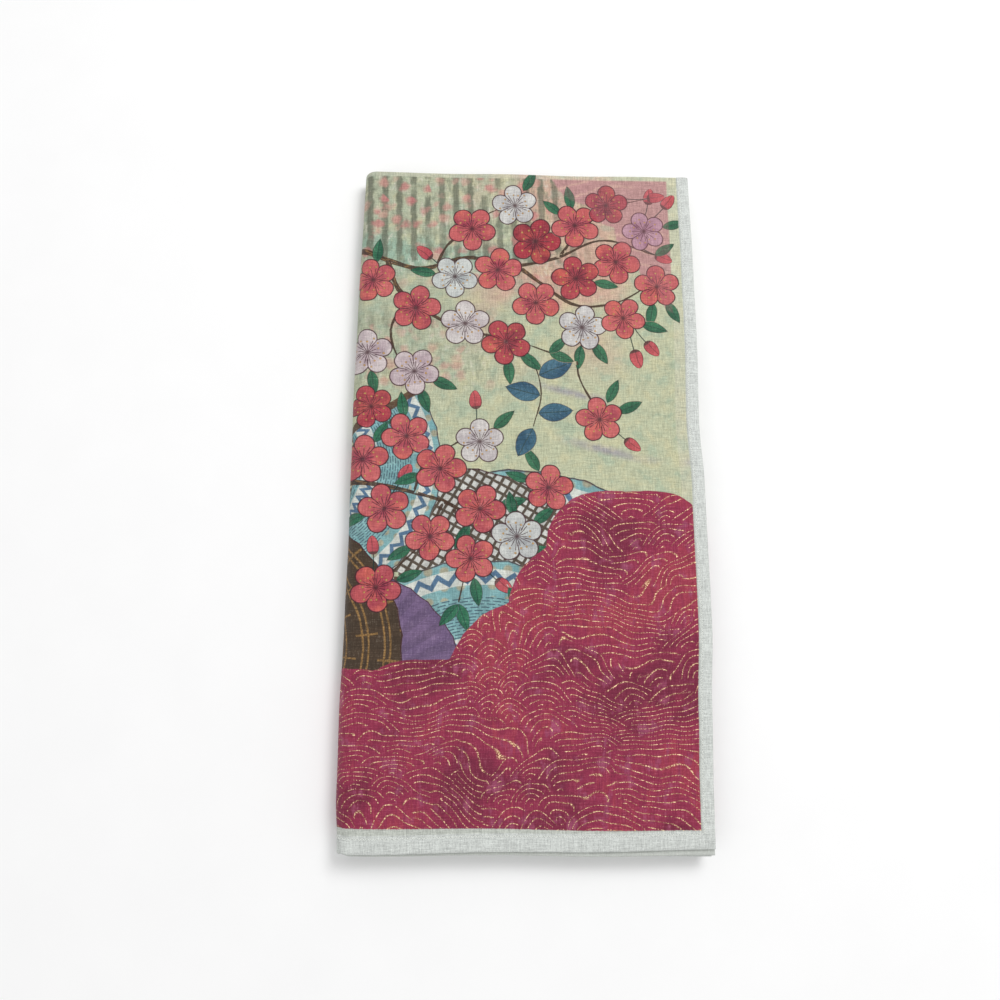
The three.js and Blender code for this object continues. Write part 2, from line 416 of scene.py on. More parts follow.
# across, up, size, turn in degrees, and tint: coral at 0, then crimson, blush
# and white at 1
blooms = [
    (71, 124, 0.95, 10, 0.05), (8, 154, 0.9, 40, 0.3), (43, 226, 1, -15, 0.1), (59, 236, 0.95, 25, 0.95),
    (67, 221, 1.05, 0, 0.35), (82, 228, 1, 50, 0.05), (94, 237, 0.92, 15, 0.38),
    (108, 226, 0.9, 35, 0.66), (97, 213, 1, -8, 0.12), (112, 203, 0.95, 20, 0.02),
    (82, 206, 1, 30, 0.3), (53, 209, 1, 12, 0.02), (37, 206, 0.95, 55, 0.98),
    (67, 196, 0.98, -20, 0.06), (23, 193, 1, 5, 0.15), (7, 204, 0.95, 33, 0.03), (41, 187, 1, 18, 0.91),
    (56, 180, 1, 48, 0.3), (84, 186, 1, 8, 0.94), (99, 190, 0.92, 60, 0.02), (6, 175, 1, 22, 0.86),
    (23, 168, 1, -12, 0.84), (90, 150, 0.95, 28, 0.05), (6, 134, 1, 14, 0.07),
    (21, 143, 0.98, 42, 0.04), (33, 131, 1.02, 0, 0.1), (14, 116, 1, 30, 0.06), (47, 141, 0.95, 17, 0.92),
    (30, 106, 0.95, 52, 0.03), (47, 116, 1, -5, 0.1), (44, 98, 0.95, 36, 0.04), (60, 106, 1, 24, 0.97),
    (12, 88, 0.95, 60, 0.2),
]

# what it grows from (the number of a blossom, or a place), direction in
# degrees, reach from there to its own middle, half length, and kind, which is
# 0 for a green leaf
blueLeaf, bud = 1.0, 2.0
sprigs = [
    (0, 118, 12, 5, 0), (0, 160, 11.5, 4.6, 0), (3, 62, 12, 4.8, 0), (5, 100, 12, 5, 0),
    (5, 140, 11.5, 4.4, 0), (7, 14, 12, 4.6, 0), (7, 52, 16, 3.6, 2), (7, 80, 15, 3.4, 2),
    (9, -62, 12, 4.8, 0), (9, -102, 12, 5, 0), (10, -12, 11.5, 4.6, 0), (12, 172, 12, 4.8, 0),
    (12, 140, 15, 3.6, 2), (15, 84, 12, 4.8, 0), (17, -40, 12, 5.2, 0), (17, -84, 12, 5, 0),
    (26, 62, 15, 3.6, 2), (18, -96, 12, 4.8, 0), (18, -58, 12, 5, 0), (19, -18, 12, 5, 0),
    (19, -50, 16, 3.6, 2), (19, -74, 17, 3.8, 2), (21, -70, 12, 5, 0), (21, -24, 12, 5.2, 0),
    (20, -78, 12, 4.8, 0), (22, 24, 12, 5, 0), (22, 66, 12, 4.8, 0), (22, -40, 15, 3.4, 2),
    ((68, 167), 24, 6.7, 6.6, 1), ((69, 159), 166, 6.8, 6.4, 1), ((68, 152), 6, 6.4, 6.2, 1),
    ((66, 146), -118, 5.8, 6, 1), (24, 98, 12, 5, 0), (24, 140, 12, 4.8, 0), (27, 44, 12, 5, 0),
    (27, 96, 16, 3.6, 2), (25, -160, 12, 5, 0), (29, 12, 12, 4.8, 0), (26, 200, 12, 5, 0),
    (28, -150, 12, 4.8, 0), (30, -80, 12, 5, 0), (30, -40, 15, 3.6, 2), (31, 40, 12, 4.8, 0),
    (31, -30, 12, 5, 0), (23, 60, 12, 4.6, 0), (32, 20, 12, 4.8, 0), ((110, 240), 8, 3.2, 3.4, 2),
    ((112, 216), -24, 3.2, 3.4, 2), ((112, 216), 34, 4.2, 4.4, 0), ((72, 176), -22, 4.6, 4.8, 0),
    ((72, 176), 44, 4.4, 4.6, 0), (31, 100, 12, 4.6, 0), (32, 96, 15, 3.4, 2), (29, -120, 12, 5, 0),
    ((40, 82), -70, 5, 5, 0), ((40, 82), -130, 5, 4.8, 0), ((57, 88), -60, 5, 4.8, 0),
]

# the middle line of each twig, as points, with its half width at both ends
twigs = [
    ([(-3, 219), (10, 213), (24, 209), (42, 214), (58, 211), (74, 214), (92, 222), (112, 216)], 1.1, 0.3),
    ([(30, 210), (34, 219), (42, 226), (50, 233), (59, 236)], 0.6, 0.25),
    ([(60, 211), (70, 203), (82, 195), (96, 196), (110, 204)], 0.8, 0.25),
    ([(76, 215), (84, 226), (96, 236), (110, 240)], 0.5, 0.2),
    ([(12, 212), (16, 201), (28, 191), (42, 184), (58, 181), (72, 176)], 1, 0.25),
    ([(20, 197), (14, 184), (18, 172), (32, 164)], 0.6, 0.25),
    ([(60, 181), (66, 172), (69, 160), (66, 146)], 0.35, 0.22),
    ([(-3, 126), (10, 125), (24, 122), (36, 118), (50, 108), (64, 102)], 1, 0.3),
    ([(24, 122), (28, 134), (38, 140), (50, 148)], 0.55, 0.25),
    ([(34, 118), (30, 108), (20, 96), (10, 88)], 0.5, 0.25),
    ([(38, 116), (44, 102), (42, 92), (40, 82)], 0.5, 0.25),
    ([(86, 186), (82, 170), (90, 152)], 0.45, 0.25),
]

# pivot across and up, radius, turn of its middle in degrees, and kind, which is
# 1 for dashes
lattice, violet, brown = 2.0, 3.0, 4.0
fans = [
    (60, 54, 77, 102, 1),
    (34, 60, 72, 60, lattice),
    (-18, 132, 52, -24, 1),
    (48, 34, 64, 92, 1),
    (0, 52, 43, 16, violet),
    (-30, 66, 52, -4, brown),
]

# bars with round ends make a cloud: from x, to x, up, radius
cloud = [
    (-40, 300, 22, 34), (-30, 8, 42, 18), (24, 52, 44, 19), (64, 300, 56, 27),
    (82, 113, 80, 25), (90, 108, 103, 20), (113, 300, 90, 21),
]
# and the part of it that shows through from the ply beneath
cloudBeneath = [
    (88, 200, 252, 15), (100, 200, 240, 13), (109, 200, 226, 12), (116, 200, 213, 11), (122, 200, 200, 9),
]


def foldedAcross(s):
    # distance from the middle of the spine, turned back at each crease
    span = spineAt - turnbackAt
    return span - abs(abs(s - spineAt) % (2 * span) - span)


def ownFrame(columns, across, up):
    # a place in a motif's own frame: moved to its middle, turned, and scaled
    x, y, size, turn = columns[:4]
    turn = np.radians(turn)
    along = ((across - x) * np.cos(turn) + (up - y) * np.sin(turn)) / size
    aside = ((up - y) * np.cos(turn) - (across - x) * np.sin(turn)) / size
    return along, aside


def bloomCovers(x, y, pad, kind):
    # five petals, which are circles round its middle, and its heart
    fifth = 2 * np.pi / 5
    radius = np.hypot(x, y)
    angle = ((np.arctan2(y, x) / fifth + 5.5) % 1 - 0.5) * fifth
    away = np.hypot(radius * np.cos(angle) - design["petalAt"], radius * np.sin(angle))
    return np.minimum(away - design["petalRadius"], radius - design["heartRadius"]) < 0.05 + pad


def sprigCovers(x, y, pad, kind):
    # an oval, and behind a bud its stem
    oval = (np.abs(x) < 1.0 + pad) & (np.abs(y) < 0.62 * np.sqrt(np.clip(1 - x * x, 0, 1)) + 0.05 + pad)
    stem = (kind == bud) & (x < 0) & (x > -3.5 - pad) & (np.abs(y) < 0.25 + pad)
    return oval | stem


def fanCovers(x, y, pad, kind):
    # the sector between its guards
    radius, angle = np.hypot(x, y), np.abs(np.arctan2(y, x))
    return (radius < 1.02 + pad) & (radius * (angle - np.radians(design["fanSpread"])) < 0.03 + pad)


def bothSides(table):
    # Beyond the spine each motif comes again, the other way round, unless it
    # reaches over the spine itself.
    table = np.array(table, float)
    again = table[table[:, 0] > table[:, 2]]
    again[:, 0] = -again[:, 0]
    again[:, 3] = 180 - again[:, 3]
    return np.concatenate([again, table])


def motifPlaces(table, covers, layers, cornerAcross, cornerUp):
    # For each layer and face corner: its place in the motif's own frame, and the
    # motif's kind or tint. Each face takes the topmost motifs that cover its
    # middle, the lowest of them first. Where there is none the place is far off.
    middle = cornerAcross.mean(axis=1)[:, None], cornerUp.mean(axis=1)[:, None]
    covered = covers(*ownFrame(table.T, *middle), design["facePad"] / table[:, 2], table[:, 4])
    fromTop = np.cumsum(covered[:, ::-1], axis=1)[:, ::-1]
    for layer in range(layers, 0, -1):
        hit = covered & (fromTop == layer)
        columns = table[hit.argmax(axis=1)].T[:, :, None]
        along, aside = ownFrame(columns, cornerAcross, cornerUp)
        kind = np.broadcast_to(columns[4], along.shape)
        some = hit.any(axis=1)[:, None, None]
        yield np.where(some, np.stack([along, aside, kind], axis=-1), (design["farOff"], design["farOff"], 0))


def sprigTable():
    # each sprig's middle lies at its reach from what it grows from
    rows = []
    for root, direction, reach, half, kind in sprigs:
        x, y = root if isinstance(root, tuple) else blooms[root][:2]
        turn = np.radians(direction)
        rows.append((x + reach * np.cos(turn), y + reach * np.sin(turn), half, direction, kind))
    return rows


def smoothCurve(at, marks, values):
    # a curve through the values with a steady slope at each: a cubic on each leg
    slope = np.gradient(values, marks)
    leg = np.clip(np.searchsorted(marks, at, side="right") - 1, 0, len(marks) - 2)
    width = marks[leg + 1] - marks[leg]
    u = (at - marks[leg]) / width
    start = values[leg] * (1 + 2 * u) * (1 - u) ** 2 + slope[leg] * width * u * (1 - u) ** 2
    end = values[leg + 1] * u * u * (3 - 2 * u) + slope[leg + 1] * width * u * u * (u - 1)
    return start + end


def twigPlaces(cornerAcross, cornerUp):
    # Each face takes the nearest stretch of twig. Its corners hold their distance
    # to the side of it, with a sign, the half width there, which goes below
    # nothing past the ends, and the distance along the twig.
    across, up = cornerAcross.mean(axis=1), cornerUp.mean(axis=1)
    best = np.full(len(across), design["twigReach"])
    twigAt = np.zeros(cornerAcross.shape + (3,))
    twigAt[..., 0] = design["farOff"]
    for points, startHalf, endHalf in twigs:
        points = np.array(points, float)
        marks = distances(points)
        fine = np.linspace(0, marks[-1], int(marks[-1] / design["twigStep"]) + 2)
        line = np.stack([smoothCurve(fine, marks, column) for column in points.T], axis=1)
        lineAt = distances(line)
        total = lineAt[-1]
        for (x0, y0), (x1, y1), start in zip(line[:-1], line[1:], lineAt):
            leg = np.hypot(x1 - x0, y1 - y0)
            dx, dy = (x1 - x0) / leg, (y1 - y0) / leg
            share = np.clip((across - x0) * dx + (up - y0) * dy, 0, leg)
            away = np.hypot(across - x0 - share * dx, up - y0 - share * dy)
            closer = np.flatnonzero(away < best)
            best[closer] = away[closer]
            offX, offY = cornerAcross[closer] - x0, cornerUp[closer] - y0
            run = offX * dx + offY * dy + start
            halfWidth = startHalf + (endHalf - startHalf) * run / total
            halfWidth = halfWidth - np.maximum(run - total, 0) - np.maximum(-run, 0)
            twigAt[closer] = np.stack([offX * dy - offY * dx, halfWidth, run], axis=-1)
    return twigAt


def insideBars(table, across, up):
    # how far inside the nearest bar a place is
    best = np.full(across.shape, -np.inf)
    for x0, x1, y, radius in table:
        best = np.maximum(best, radius - np.hypot(across - np.clip(across, x0, x1), up - y))
    return best


def addAttribute(piece, name, values):
    # three values for each corner of each face, or one for each vertex
    if values.ndim == 3:
        kind, domain, field = "FLOAT_VECTOR", "CORNER", "vector"
    else:
        kind, domain, field = "FLOAT", "POINT", "value"
    attribute = piece.data.attributes.new(name, kind, domain)
    attribute.data.foreach_set(field, values.astype(np.float32).ravel())


def layOutPrint(piece):
    # What the shader can't work out by itself, as attributes. Places beyond the
    # spine are less than nothing across.
    vertexAcross = np.sign(sheetS - spineAt) * foldedAcross(sheetS)
    cornerAcross, cornerUp = vertexAcross[faces], sheetT[faces]
    bloomRows = [(x, y, size * design["bloomSize"], turn, tint) for x, y, size, turn, tint in blooms]
    motifs = {
        "bloom": (bloomRows, bloomCovers),
        "sprig": (sprigTable(), sprigCovers),
        "fan": (fans, fanCovers),
    }
    for name, (table, covers) in motifs.items():
        layers = design["layers"][name]
        for n, values in enumerate(motifPlaces(bothSides(table), covers, layers, cornerAcross, cornerUp)):
            addAttribute(piece, f"{name}{n}", values)
    addAttribute(piece, "twig", twigPlaces(np.abs(cornerAcross), cornerUp))
    addAttribute(piece, "cloud", insideBars(cloud, np.abs(vertexAcross), sheetT))
    addAttribute(piece, "beneath", insideBars(cloudBeneath, np.abs(vertexAcross), sheetT))
    addAttribute(piece, "reverse", np.repeat([0.0, 1.0], countS * countT))
    addAttribute(piece, "hem", hemShare(sheetS, sheetT))
    uvMap = piece.data.uv_layers.new(name="sheet")
    sheetPlace = np.stack([sheetS[faces], sheetT[faces]], axis=-1) / uvScale
    uvMap.data.foreach_set("uv", sheetPlace.astype(np.float32).ravel())


uvScale = 500.0  # the UV map holds s and t over this
layOutPrint(handkerchief)
print("print laid out")


# Shader maths


def mathMethod(operation):
    # a method that adds a Math node of that kind to its wire
    return lambda wire, *others: wire.math(operation, wire, *others)


class Wire:
    # A socket in a material. Arithmetic on wires adds Math nodes.

    def __init__(self, socket):
        self.socket = socket

    def node(self, kind, sockets=(), stops=(), **settings):
        # any other shader node: its type, values or links for its sockets, a
        # colour ramp's stops, and its settings
        tree = self.socket.id_data
        node = tree.nodes.new("ShaderNode" + kind)
        for key, value in settings.items():
            setattr(node, key, value)
        for _ in stops[2:]:  # a ramp starts with two
            node.color_ramp.elements.new(1)
        for n, (place, colour) in enumerate(stops):
            node.color_ramp.elements[n].position = place
            node.color_ramp.elements[n].color = colour
        for key, value in dict(sockets).items():
            if isinstance(value, Wire):
                tree.links.new(node.inputs[key], value.socket)
            else:
                node.inputs[key].default_value = value
        return Wire(node.outputs[0])

    def output(self, key):
        return Wire(self.socket.node.outputs[key])

    def attribute(self, name, key="Fac"):
        return self.node("Attribute", attribute_name=name).output(key)

    def math(self, operation, *values):
        return self.node("Math", enumerate(values), operation=operation)

    __add__ = __radd__ = mathMethod("ADD")
    __sub__ = mathMethod("SUBTRACT")
    __mul__ = __rmul__ = mathMethod("MULTIPLY")
    __truediv__ = mathMethod("DIVIDE")
    __mod__ = mathMethod("FLOORED_MODULO")
    __pow__ = mathMethod("POWER")
    __abs__ = mathMethod("ABSOLUTE")
    sin = mathMethod("SINE")
    cos = mathMethod("COSINE")
    root = mathMethod("SQRT")
    part = mathMethod("FRACT")
    whole = mathMethod("FLOOR")
    above = mathMethod("GREATER_THAN")  # 1 or 0
    most = mathMethod("MAXIMUM")
    least = mathMethod("MINIMUM")

    def __rsub__(self, other):
        return self.math("SUBTRACT", other, self)

    def step(self, low, high):
        # 0 at low, 1 at high, and an even curve between
        sockets = {"Value": self, "From Min": low, "From Max": high, "To Min": 0, "To Max": 1}
        return self.node("MapRange", sockets, interpolation_type="SMOOTHSTEP")

    def line(self, halfWidth, soft):
        # 1 where the value is within halfWidth of nothing
        return abs(self).step(halfWidth + soft, halfWidth - soft)

    def evenly(self, pitch):
        # distance from the nearest of even marks, with a sign
        return ((self / pitch + 0.5).part() - 0.5) * pitch


def startMaterial(name):
    material = bpy.data.materials.new(name)
    material.use_nodes = True
    material.node_tree.nodes.clear()
    output = material.node_tree.nodes.new("ShaderNodeOutputMaterial")
    return material, Wire(output.inputs["Surface"])


def seen(red, green, blue):
    # a colour as it looks on a screen, from 0 to 255, made linear
    channel = np.array([red, green, blue]) / 255
    linear = np.where(channel < 0.04045, channel / 12.92, ((channel + 0.055) / 1.055) ** 2.4)
    return (*linear.tolist(), 1)


def blend(under, over, share):
    # over on under, by share
    start = next(wire for wire in (share, under, over) if isinstance(wire, Wire))
    return start.node("Mix", {0: share, 6: under, 7: over}, data_type="RGBA").output(2)


def tinted(colour, factor):
    # a colour made lighter or darker by a factor, as a mix with black
    sockets = {0: 1 - factor, 6: colour, 7: (0, 0, 0, 1)}
    return colour.node("Mix", sockets, data_type="RGBA", clamp_factor=False).output(2)


def noise(place, scale, detail=2, rough=0.5):
    return place.node("TexNoise", {"Vector": place, "Scale": scale, "Detail": detail, "Roughness": rough})


def vector(x, y, z=0):
    start = x if isinstance(x, Wire) else y
    return start.node("CombineXYZ", {0: x, 1: y, 2: z})


def parts(place):
    split = place.node("SeparateXYZ", {0: place})
    return split, split.output(1), split.output(2)


def shaded(material, surface, sockets):
    # the material with a Principled shader on its surface
    shader = surface.node("BsdfPrincipled", sockets)
    material.node_tree.links.new(surface.socket, shader.socket)
    return material


# the print's colours, as they look on a screen, from 0 to 255
inks = {name: seen(*colour) for name, colour in {
    "magenta": (143, 44, 74), "magentaDeep": (106, 30, 56), "magentaWarm": (157, 56, 74),
    "orchid": (158, 80, 110), "gold": (150, 112, 60), "goldGlint": (244, 212, 166), "cream": (182, 186, 156),
    "straw": (196, 188, 148), "greenHaze": (168, 174, 150), "tealHaze": (142, 174, 156),
    "blush": (198, 158, 142), "mist": (148, 142, 154), "shade": (122, 128, 110), "rose": (179, 134, 134),
    "roseLine": (214, 178, 158), "blot": (190, 108, 112), "bar": (98, 102, 86), "line": (62, 24, 36),
    "bark": (60, 40, 28), "barkPale": (128, 94, 56), "leaf": (22, 84, 60), "leafPale": (54, 124, 88),
    "leafLine": (14, 46, 42), "blueLeaf": (30, 74, 102), "blueLeafPale": (66, 112, 134),
    "bud": (192, 82, 88), "budDeep": (146, 42, 62), "orange": (212, 104, 84), "teal": (138, 178, 178),
    "tealDeep": (100, 152, 160), "dash": (40, 58, 84), "blue": (44, 92, 130), "white": (208, 210, 202),
    "violet": (120, 96, 132), "violetDeep": (88, 68, 108), "brown": (62, 44, 30), "stick": (84, 58, 38),
    "ochre": (188, 146, 82), "border": (186, 190, 182), "hem": (203, 207, 203), "bare": (210, 204, 190),
}.items()}


def inked(under, name, share):
    # one of the inks on what is under it, by share
    return blend(under, inks[name], share)


def overlaid(surface, name, waver, inside):
    # The place, in its own frame, of the topmost motif that is here, and its
    # kind. The last layer lies on top. The waver is a hand-drawn one.
    place = surface.attribute(f"{name}0", "Color")
    for layer in range(1, design["layers"][name]):
        own = surface.attribute(f"{name}{layer}", "Color")
        x, y, kind = parts(own)
        place = blend(place, own, inside(x + waver, y - waver, kind))
    x, y, kind = parts(place)
    return x + waver, y - waver, kind


def petals(x, y):
    # Five circles round the middle: how far a place is outside the nearest one,
    # its radius, its turn in fifths, and its angle from the middle of its petal.
    radius = (x * x + y * y).root()
    fifths = x.math("ARCTAN2", y, x) * (2.5 / np.pi) + 5.5
    angle = (fifths.part() - 0.5) * (0.4 * np.pi)
    along, aside = radius * angle.cos() - design["petalAt"], radius * angle.sin()
    edge = (along * along + aside * aside).root() - design["petalRadius"]
    return edge.least(radius - design["heartRadius"]), radius, fifths, angle


def insidePetals(x, y, kind):
    return (0.03 - petals(x, y)[0]).above(0)


# tint of a blossom, and the colours of its petals' ends and of their bases
petalColours = [
    (0, (195, 99, 98), (162, 62, 80)),
    (0.22, (183, 81, 87), (146, 48, 70)),
    (0.36, (160, 44, 60), (116, 26, 48)),
    (0.66, (180, 142, 158), (144, 98, 124)),
    (0.9, (202, 194, 192), (172, 156, 162)),
    (1, (194, 200, 196), (154, 166, 166)),
]


def petalPaint(radius, fifths, tint, wash):
    # deeper towards the base, and a little different on each petal
    shade = (fifths.whole() * 2.39 + tint * 31).sin()
    ends, base = (
        tint.node("ValToRGB", {0: tint}, [(stop, seen(*pair[n])) for stop, *pair in petalColours])
        for n in (0, 1))
    depth = radius.step(0.85, 0.15) * 0.40 + shade * 0.24 + wash * 3 - 1.35
    warm = (shade - wash * 2).step(-0.9, 0.3) * tint.step(0.5, 0.3)
    return blend(inked(ends, "orange", warm * 0.55), base, depth)


def stamens(paint, radius, fifths, tint):
    # three fine threads on each petal, from a dark middle to ochre dots
    spokes = fifths * 3
    spokeAngle = (spokes.part() - 0.5) * (2 * np.pi / 15)
    length = 0.46 + 0.10 * (spokes.whole() * 2.1 + tint * 17).sin()
    aside = radius * spokeAngle.sin()
    thread = aside.line(0.014, 0.010) * (length - radius).step(-0.01, 0.02)
    past = radius - length - 0.09
    dot = (past * past + aside * aside).root()
    paint = inked(paint, "line", thread.most(radius.step(0.085, 0.05) * 0.8) * 0.9)
    paint = inked(paint, "line", dot.line(0.048, 0.016) * 0.45)
    return inked(paint, "ochre", dot.step(0.048, 0.026) * 0.85)


def bloom(under, wash):
    # a plum blossom: round petals with dark outlines, and stamens
    x, y, tint = overlaid(under, "bloom", (wash - 0.5) * 0.10, insidePetals)
    edge, radius, fifths, angle = petals(x, y)
    body = edge.step(0.012, -0.012)
    between = (radius * (0.2 * np.pi - abs(angle)).sin()).line(0.017, 0.012)
    between = between * radius.step(0.2, 0.3) * radius.step(0.9, 0.8)
    outline = edge.line(0.024, 0.014).most(between * body)
    paint = stamens(petalPaint(radius, fifths, tint, wash), radius, fifths, tint)
    under = blend(under, paint, body * 0.97)
    return inked(under, "line", outline * 0.92)


def leafShape(x, y, kind):
    # how far inside a leaf or bud a place is, how far inside a bud's stem, and
    # whether it is a bud
    isBud = kind.above(bud - 0.5)
    bow = (1 - x * x).most(0)
    girth = 0.40 + isBud * 0.20 + kind.least(blueLeaf) * (1 - isBud) * 0.16
    edge = (bow ** (0.85 - isBud * 0.35)) * girth * (1 - x * 0.22) - abs(y)
    back = x + 0.95
    stem = 0.06 - abs(y - back * back * 0.05)
    stem = stem.least(0.1 - back).least(back + 2.45) - (1 - isBud)
    return edge, stem, isBud


def insideLeaf(x, y, kind):
    edge, stem, isBud = leafShape(x, y, kind)
    return edge.most(stem).above(-0.03)


def sprig(under, wash):
    # A leaf has a midrib and veins. A bud has a cup, a petal's edge and a stem.
    x, y, kind = overlaid(under, "sprig", (wash - 0.5) * 0.10, insideLeaf)
    edge, stem, isBud = leafShape(x, y, kind)
    isBlue, isLeaf = kind.above(blueLeaf - 0.5), 1 - isBud
    rib = y.line(0.028, 0.02).most(((x - abs(y) * 0.9) * 17).sin().step(0.80, 0.98) * 0.5) * isLeaf
    shade = wash * 1.6 - 0.5 + y * 0.7
    leafPaint = inked(inks["leaf"], "leafPale", shade)
    bluePaint = inked(inks["blueLeaf"], "blueLeafPale", shade)
    budPaint = inked(inks["bud"], "budDeep", wash * 1.2 - 0.3 - x * 0.35)
    paint = blend(blend(leafPaint, bluePaint, isBlue), budPaint, isBud)
    paint = inked(paint, "leafLine", rib.most(x.step(-0.62, -0.74) * isBud) * 0.75)
    petalLine = (y - x * x * 0.12 - 0.04).line(0.035, 0.03) * isBud
    paint = inked(paint, "line", petalLine * 0.7)
    near = (1.05 - abs(x)).above(0)
    under = inked(under, "leafLine", stem.step(-0.02, 0.02) * 0.85)
    under = blend(under, paint, edge.step(-0.02, 0.02) * near * 0.96)
    return inked(under, "line", edge.line(0.03, 0.025) * near * (0.5 + isBud * 0.4))


def dashedPaper(x, y, radius, angle, wash):
    # rows of short dashes between two ribbons of teeth, with faint rings
    teal = inked(inks["teal"], "tealDeep", wash * 1.6 - 0.3)
    ringX, ringY = x.evenly(0.085), y.evenly(0.085)
    rings = (ringX * ringX + ringY * ringY).root().line(0.024, 0.008)
    teal = inked(teal, "ochre", rings * radius.above(0.79) * 0.5)
    row = radius * 58
    dash = (angle * radius * 17 + (row.whole() * 1.7).sin() * 3).part() - 0.5
    dashes = (row.part() - 0.5).line(0.17, 0.12) * abs(dash).step(0.42, 0.34) * (0.795 - radius).above(0)
    paper = inked(teal, "dash", dashes * 0.85)
    zigzag = abs((angle * 9).part() - 0.5) * 0.10 - 0.025
    inner, outer = radius - 0.52, radius - 0.90
    ribbon = inner.line(0.05, 0.003).most(outer.line(0.045, 0.003))
    bands = (inner - zigzag).line(0.020, 0.004).most((outer - zigzag).line(0.018, 0.004))
    paper = inked(paper, "white", ribbon * 0.9)
    return inked(paper, "blue", bands * 0.92)


def latticePaper(x, y, wash):
    # crossed bars on white
    pitch, half, soft = 0.042, 0.0072, 0.002
    bars = x.evenly(pitch).line(half, soft).most(y.evenly(pitch).line(half, soft))
    return inked(inked(inks["white"], "mist", wash * 0.5), "brown", bars * 0.95)


def brownPaper(radius, angle, wash, threads):
    # gold lines in pairs, with short crossbars between them
    pitch = 0.14
    pairs = (abs((radius - 0.62).evenly(pitch)) - 0.018).line(0.006, 0.004)
    crossbars = (angle + (radius / pitch).whole() * 0.21).evenly(0.42).line(0.008, 0.006)
    paper = inked(inks["brown"], "bark", wash)
    return inked(paper, "gold", pairs.most(crossbars) * (0.35 + threads * 0.6))


def fanShape(x, y):
    # how far inside its two guards and its rim a place is, radius, and angle
    radius = (x * x + y * y).root()
    angle = x.math("ARCTAN2", y, x)
    spreadEdge = (float(np.radians(design["fanSpread"])) - abs(angle)) * radius
    rim = 1 - 0.010 * abs((angle * 18).sin()) - radius
    return spreadEdge, rim, radius, angle


def insideFan(x, y, kind):
    spreadEdge, rim, radius, angle = fanShape(x, y)
    return (spreadEdge + 0.026).least(rim).above(0)


def fan(under, wash, threads):
    # A folding fan about its pivot: sticks, then pleated paper with one of four
    # patterns, between two guards.
    x, y, kind = overlaid(under, "fan", (wash - 0.5) * 0.012, insideFan)
    spreadEdge, rim, radius, angle = fanShape(x, y)
    inFan = spreadEdge.step(-0.003, 0.003) * rim.step(-0.003, 0.003)
    paperFrom = design["fanPaper"]
    paperShare = inFan * (radius - paperFrom).step(-0.004, 0.004)
    paint = dashedPaper(x, y, radius, angle, wash)
    paint = blend(paint, latticePaper(x, y, wash), kind.above(lattice - 0.5))
    paint = blend(paint, inked(inks["violet"], "violetDeep", wash * 1.8 - 0.4), kind.above(violet - 0.5))
    paint = blend(paint, brownPaper(radius, angle, wash, threads), kind.above(brown - 0.5))
    pleat = (angle * (18 / np.pi) + 0.5).part()
    paint = tinted(paint, 0.88 + 0.16 * pleat.step(0.45, 0.55))
    sticks = inFan * (angle.evenly(0.11) * radius).line(0.011, 0.004) * (paperFrom + 0.01 - radius).above(0)
    guards = spreadEdge.line(0.026, 0.004) * rim.step(-0.003, 0.003)
    edges = paperShare * (rim.line(0.008, 0.004).most((radius - paperFrom).line(0.008, 0.004)))
    under = blend(under, paint, paperShare * 0.97)
    under = inked(under, "stick", sticks.most(guards) * 0.95)
    return inked(under, "line", edges * 0.9)


def twig(under, wash):
    # brown wood with a paler grain, where its half width is above nothing
    side, halfWidth, run = parts(under.attribute("twig", "Color"))
    wood = (halfWidth + (wash - 0.5) * 0.8 - abs(side)).step(-0.06, 0.10) * halfWidth.step(0, 0.1)
    grain = noise(vector(run * 0.35, side * 1.6), 1, 2).step(0.52, 0.62)
    return blend(under, inked(inks["bark"], "barkPale", grain * halfWidth.step(0.4, 1)), wood * 0.94)


def magentaField(s, up, wash):
    # magenta with deeper, warmer and paler patches
    slow = noise(vector(s, up + 700), 0.03, 2)
    quick = noise(vector(s * 0.6, up * 0.12 + 200), 1, 2)
    field = inked(inks["magenta"], "magentaDeep", (slow + wash * 0.4).step(0.68, 0.82) * 0.7)
    field = inked(field, "magentaWarm", (slow + quick * 0.5).step(0.72, 0.58) * 0.75)
    field = inked(field, "orchid", (wash + quick * 0.5).step(0.80, 0.96) * 0.55)
    return tinted(field, 0.80 + wash * 0.40)


def goldWaves(s, up):
    # Overlapping arcs in staggered rows, bent by two slow noises: rings at even
    # distances from the middle of the nearest arc in front. Elsewhere long lines
    # flow side by side.
    flat = vector(s, up)
    bentX, bentY, _ = parts(noise(flat, 0.019, 1).output("Color"))
    kinkX, kinkY, _ = parts(noise(flat, 0.06, 1).output("Color"))
    x = s + (bentX - 0.5) * 46 + (kinkX - 0.5) * 14
    y = up * 1.15 + (bentY - 0.5) * 50 + (kinkY - 0.5) * 12
    radius, pitch, flowPitch = 12.5, 2.5, 2.6
    half, soft = 0.16, 0.12
    rowAt = y / (radius / 2)
    rise = rowAt.part() * (radius / 2)
    stagger = (rowAt.whole() * 0.5).part() * 2

    def fromMiddle(rise, stagger):
        column = (x + stagger * radius).evenly(2 * radius)
        return (column * column + rise * rise).root()

    front = fromMiddle(rise + radius / 2, stagger)
    back = fromMiddle(rise, 1 - stagger)
    inFront = (radius - front).step(-0.001, 0.001)
    away = front * inFront + back * (1 - inFront)
    arcs = (radius - away + pitch / 4).evenly(pitch).line(half, soft)
    flows = (y + (x / 13).sin() * 5).evenly(flowPitch).line(half, soft)
    flowing = noise(vector(s, up + 400), 0.024, 1).step(0.535, 0.545)
    return arcs * (1 - flowing) + flows * flowing


